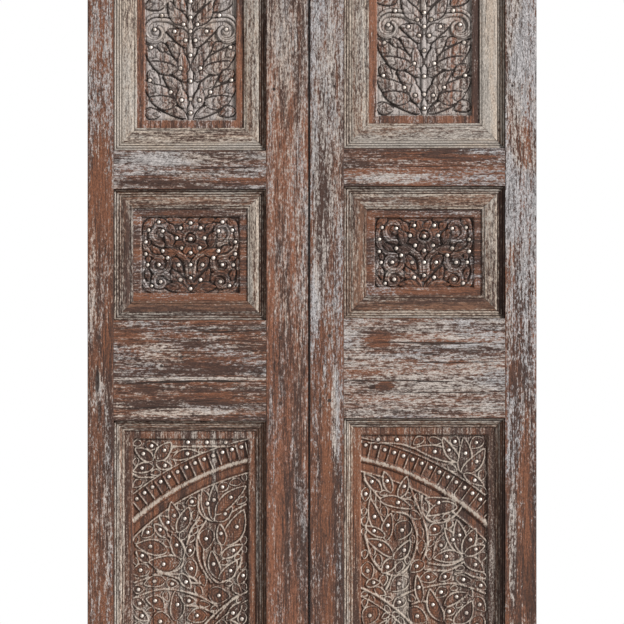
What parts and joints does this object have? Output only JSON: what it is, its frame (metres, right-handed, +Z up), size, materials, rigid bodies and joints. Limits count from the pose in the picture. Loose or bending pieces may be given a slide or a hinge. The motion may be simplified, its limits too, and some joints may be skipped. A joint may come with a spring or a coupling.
{
  "type": "carved wooden door",
  "caption": "Pair of panelled wooden door leaves with carved panels, mouldings and metal studs, hung on iron pivots in a plain wooden frame that they close from the front.",
  "frame": {"origin": "centre of the sill's underside, midway in width and depth of the whole door", "axes": "+X to the viewer's right along the door, +Y from the front to the back, +Z up"},
  "size_m": [0.9872, 0.148, 2.271],
  "materials": {
    "stile_wood": "limewashed and worn, reddish brown below",
    "rail_wood": "limewashed and worn, reddish brown below",
    "panel_wood": "carved, limewash left in the hollows",
    "moulding_wood": "limewashed, worn on its edges",
    "frame_wood": "plain planed, lightly limewashed",
    "peg_wood": "dark, end grain",
    "stud_metal": "rubbed bright, dull at the rim",
    "pivot_iron": "dark, slightly rusted"
  },
  "bodies": {
    "frame": {"sill": "frame_wood", "head": "frame_wood", "left_jamb": "frame_wood", "right_jamb": "frame_wood", "sill_sockets": "pivot_iron", "head_sockets": "pivot_iron"},
    "left_leaf": {"left_hanging_stile": "stile_wood", "left_meeting_stile": "stile_wood", "left_bottom_rail": "rail_wood", "left_lock_rail": "rail_wood", "left_frieze_rail": "rail_wood", "left_top_rail": "rail_wood", "left_lower_panel": "panel_wood", "left_middle_panel": "panel_wood", "left_upper_panel": "panel_wood", "left_lower_moulding": "moulding_wood", "left_middle_moulding": "moulding_wood", "left_upper_moulding": "moulding_wood", "left_lower_studs": "stud_metal", "left_middle_studs": "stud_metal", "left_upper_studs": "stud_metal", "left_pegs": "peg_wood", "left_pivots": "pivot_iron"},
    "right_leaf": {"right_hanging_stile": "stile_wood", "right_meeting_stile": "stile_wood", "right_bottom_rail": "rail_wood", "right_lock_rail": "rail_wood", "right_frieze_rail": "rail_wood", "right_top_rail": "rail_wood", "right_lower_panel": "panel_wood", "right_middle_panel": "panel_wood", "right_upper_panel": "panel_wood", "right_lower_moulding": "moulding_wood", "right_middle_moulding": "moulding_wood", "right_upper_moulding": "moulding_wood", "right_lower_studs": "stud_metal", "right_middle_studs": "stud_metal", "right_upper_studs": "stud_metal", "right_pegs": "peg_wood", "right_pivots": "pivot_iron"}
  },
  "joints": [
    {"name": "left_leaf_swing", "type": "hinge", "parent": "frame", "child": "left_leaf", "pos_m": [-0.4491, -0.0455, 1.1305], "axis": [0, 0, -1], "range_deg": [0, 90]},
    {"name": "right_leaf_swing", "type": "hinge", "parent": "frame", "child": "right_leaf", "pos_m": [0.4491, -0.0455, 1.1305], "axis": [0, 0, 1], "range_deg": [0, 90]}
  ]
}
